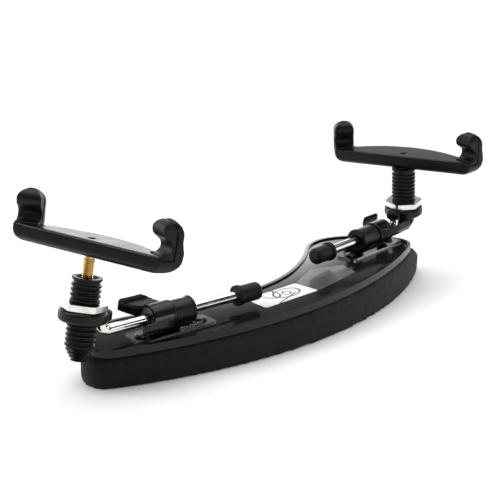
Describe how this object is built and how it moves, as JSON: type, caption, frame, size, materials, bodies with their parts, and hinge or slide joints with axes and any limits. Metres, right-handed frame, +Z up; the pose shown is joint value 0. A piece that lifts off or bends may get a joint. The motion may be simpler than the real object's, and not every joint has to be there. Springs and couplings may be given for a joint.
{
  "type": "violin shoulder rest",
  "caption": "Crescent foam-soled violin shoulder rest with sliding, tilting rods, threaded legs, height studs and two-pronged rubber-lined forks.",
  "frame": {"origin": "on the underside of the foam strip, below the middle of the crescent's waist", "axes": "+Z up out of the foam towards the forks, +X along the crescent from its low end to its high end, -Y towards the convex edge"},
  "size_m": [0.2071, 0.0738, 0.0703],
  "materials": {
    "foam": "matte closed-cell foam",
    "adhesive": "thin glue film",
    "plate": "glossy black",
    "label_white": "printed panel, no lettering",
    "label_grey": "plain dark panel",
    "nickel": "bright nickel plate",
    "strip": "black with bare bright edges",
    "dark_metal": "blackened",
    "barrel": "dark grey moulding",
    "wing": "charcoal moulding",
    "cap_rubber": "soft black",
    "collar_rubber": "soft black",
    "leg": "black threaded moulding",
    "grip": "split gripping ring",
    "brass": "bright brass",
    "fork": "semi-gloss charcoal",
    "hook_rubber": "soft black lining"
  },
  "bodies": {
    "base": {"foam_pad": "foam", "glue_film": "adhesive", "base_plate": "plate", "label_panel": "label_grey", "label_picture": "label_white", "rivets": "dark_metal", "bracket_left": "strip", "clamp_barrel_left": "barrel", "ferrule_left": "barrel", "bracket_right": "strip", "clamp_barrel_right": "barrel", "ferrule_right": "barrel"},
    "grip_left": {"grip_ring_left": "grip"},
    "rod_left": {"rod_left": "nickel", "rod_cap_left": "cap_rubber", "collar_left": "collar_rubber"},
    "nut_left": {"ring_nut_left": "nickel"},
    "insert_left": {"insert_left": "brass"},
    "leg_left": {"screw_leg_left": "leg"},
    "stud_left": {"stud_left": "brass"},
    "fork_left": {"fork_left": "fork", "hook_pad_a_left": "hook_rubber", "hook_pad_b_left": "hook_rubber"},
    "wing_left": {"wing_nut_left": "wing", "wing_washer_left": "dark_metal"},
    "grip_right": {"grip_ring_right": "grip"},
    "rod_right": {"rod_right": "nickel", "rod_cap_right": "cap_rubber", "collar_right": "collar_rubber"},
    "nut_right": {"ring_nut_right": "nickel"},
    "insert_right": {"insert_right": "brass"},
    "leg_right": {"screw_leg_right": "leg"},
    "stud_right": {"stud_right": "brass"},
    "fork_right": {"fork_right": "fork", "hook_pad_a_right": "hook_rubber", "hook_pad_b_right": "hook_rubber"},
    "wing_right": {"wing_nut_right": "wing", "wing_washer_right": "dark_metal"}
  },
  "joints": [
    {"name": "rod_tilt_left", "type": "hinge", "parent": "base", "child": "grip_left", "pos_m": [-0.09453, 0.0137, 0.01993], "axis": [-0.9813, 0.1908, -0.0257], "range_deg": [-20, 20]},
    {"name": "rod_slide_left", "type": "slide", "parent": "grip_left", "child": "rod_left", "axis": [-0.9813, 0.1908, -0.0257], "range_m": [0, 0.016]},
    {"name": "nut_turn_left", "type": "hinge", "parent": "rod_left", "child": "nut_left", "pos_m": [-0.10074, 0.01503, 0.02741], "axis": [0.1823, -0.0196, 0.983], "range_deg": [-30, 30]},
    {"name": "leg_height_left", "type": "slide", "parent": "rod_left", "child": "insert_left", "axis": [0.1823, -0.0196, 0.983], "range_m": [-0.0035, 0.008]},
    {"name": "leg_turn_left", "type": "hinge", "parent": "insert_left", "child": "leg_left", "pos_m": [-0.10074, 0.01503, 0.02741], "axis": [0.1823, -0.0196, 0.983], "range_deg": [-724, 1649.7]},
    {"name": "fork_height_left", "type": "slide", "parent": "insert_left", "child": "stud_left", "axis": [0.1823, -0.0196, 0.983], "range_m": [-0.007, 0.008]},
    {"name": "fork_turn_left", "type": "hinge", "parent": "stud_left", "child": "fork_left", "pos_m": [-0.09694, 0.01462, 0.04786], "axis": [0.1823, -0.0196, 0.983], "range_deg": [-3604, 4118.3]},
    {"name": "wing_turn_left", "type": "hinge", "parent": "base", "child": "wing_left", "pos_m": [-0.09453, 0.0137, 0.01993], "axis": [-0.9813, 0.1908, -0.0257], "range_deg": [-20, 20]},
    {"name": "rod_tilt_right", "type": "hinge", "parent": "base", "child": "grip_right", "pos_m": [0.07841, 0.0114, 0.02446], "axis": [0.9995, 0.0175, 0.0262], "range_deg": [-20, 20]},
    {"name": "rod_slide_right", "type": "slide", "parent": "grip_right", "child": "rod_right", "axis": [0.9995, 0.0175, 0.0262], "range_m": [-0.002, 0.016]},
    {"name": "nut_turn_right", "type": "hinge", "parent": "rod_right", "child": "nut_right", "pos_m": [0.08525, 0.01125, 0.03113], "axis": [-0.1211, -0.0433, 0.9917], "range_deg": [-30, 30]},
    {"name": "leg_height_right", "type": "slide", "parent": "rod_right", "child": "insert_right", "axis": [-0.1211, -0.0433, 0.9917], "range_m": [-0.0035, 0.0014]},
    {"name": "leg_turn_right", "type": "hinge", "parent": "insert_right", "child": "leg_right", "pos_m": [0.08525, 0.01125, 0.03113], "axis": [-0.1211, -0.0433, 0.9917], "range_deg": [-724, 292]},
    {"name": "fork_height_right", "type": "slide", "parent": "insert_right", "child": "stud_right", "axis": [-0.1211, -0.0433, 0.9917], "range_m": [-0.0004, 0.012]},
    {"name": "fork_turn_right", "type": "hinge", "parent": "stud_right", "child": "fork_right", "pos_m": [0.08274, 0.01035, 0.05166], "axis": [-0.1211, -0.0433, 0.9917], "range_deg": [-209.7, 6175.4]},
    {"name": "wing_turn_right", "type": "hinge", "parent": "base", "child": "wing_right", "pos_m": [0.07841, 0.0114, 0.02446], "axis": [0.9995, 0.0175, 0.0262], "range_deg": [-20, 20]}
  ],
  "couplings": [
    {"joint": "leg_turn_left", "follows": "leg_height_left", "rad_per_m": 3590.4},
    {"joint": "fork_turn_left", "follows": "fork_height_left", "rad_per_m": 8976},
    {"joint": "leg_turn_right", "follows": "leg_height_right", "rad_per_m": 3590.4},
    {"joint": "fork_turn_right", "follows": "fork_height_right", "rad_per_m": 8976}
  ]
}
